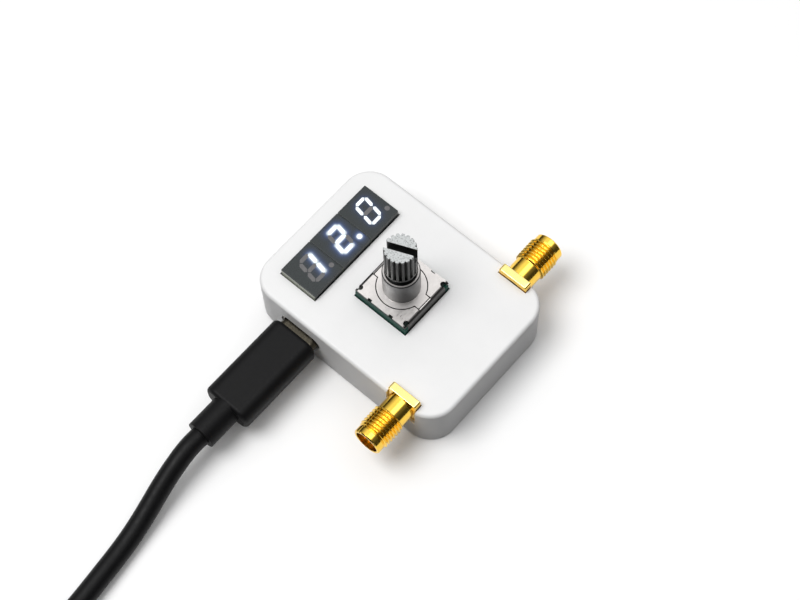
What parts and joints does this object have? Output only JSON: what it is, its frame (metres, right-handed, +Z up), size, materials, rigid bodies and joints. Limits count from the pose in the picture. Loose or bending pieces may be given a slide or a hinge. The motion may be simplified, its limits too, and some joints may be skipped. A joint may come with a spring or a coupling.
{
  "type": "rf step attenuator",
  "caption": "Small white box with coaxial threaded jacks on opposite sides, a seven-segment display, a rotary encoder with push switch and a plugged-in USB supply lead.",
  "frame": {"origin": "centre of the case's footprint, on the surface that it stands on", "axes": "+X towards the output jack, +Y towards the display, +Z up"},
  "size_m": [0.1584, 0.0796, 0.0288],
  "materials": {
    "case_white": "satin moulded",
    "board_green": "solder mask",
    "chip_black": "moulded package",
    "capacitor_tan": "ceramic",
    "jack_gold": "gold plated, turned",
    "insulator_white": "plain",
    "display_dark": "tinted film",
    "segment_white": "diffusing",
    "encoder_green": "moulded",
    "frame_steel": "tin plated sheet",
    "bushing_zinc": "die cast",
    "shaft_metal": "cast, dark splines",
    "rotor_nylon": "moulded",
    "spring_steel": "stamped",
    "usb_steel": "drawn shell",
    "tongue_black": "moulded",
    "grip_black": "fine matt moulding",
    "lead_black": "smooth jacket",
    "tongue_white": "moulded"
  },
  "bodies": {
    "base": {"case_tray": "case_white", "case_lid": "case_white", "circuit_board": "board_green", "attenuator_chip": "chip_black", "microcontroller": "chip_black", "voltage_regulator": "chip_black", "chip_capacitors": "capacitor_tan", "encoder_base": "encoder_green", "encoder_frame": "frame_steel", "encoder_bushing": "bushing_zinc", "encoder_switch_dome": "spring_steel", "encoder_terminals": "spring_steel", "usb_socket_shell": "usb_steel", "usb_socket_tongue": "tongue_black", "usb_plug_nose": "usb_steel", "usb_plug_grip": "grip_black", "usb_lead": "lead_black", "usb_lead_coil": "lead_black", "usb_lead_tail": "lead_black", "usb_lead_tie": "grip_black", "far_plug_grip": "grip_black", "far_plug_shell": "usb_steel", "far_plug_tongue": "tongue_white", "input_jack_body": "jack_gold", "input_jack_insulator": "insulator_white", "input_jack_contact": "jack_gold", "output_jack_body": "jack_gold", "output_jack_insulator": "insulator_white", "output_jack_contact": "jack_gold", "digit_1_housing": "display_dark", "digit_1_segments": "segment_white", "digit_2_housing": "display_dark", "digit_2_segments": "segment_white", "digit_3_housing": "display_dark", "digit_3_segments": "segment_white"},
    "rotor": {"encoder_rotor": "rotor_nylon"},
    "shaft": {"encoder_shaft": "shaft_metal"}
  },
  "joints": [
    {"name": "shaft_turn", "type": "hinge", "parent": "base", "child": "rotor", "pos_m": [0, -0.0007, 0.0138], "axis": [0, 0, 1], "continuous": true},
    {"name": "shaft_push", "type": "slide", "parent": "rotor", "child": "shaft", "axis": [0, 0, -1], "range_m": [0, 0.0005], "stiffness_N_per_m": 800, "springref_m": -0.001, "deforming": ["encoder_switch_dome"]}
  ]
}
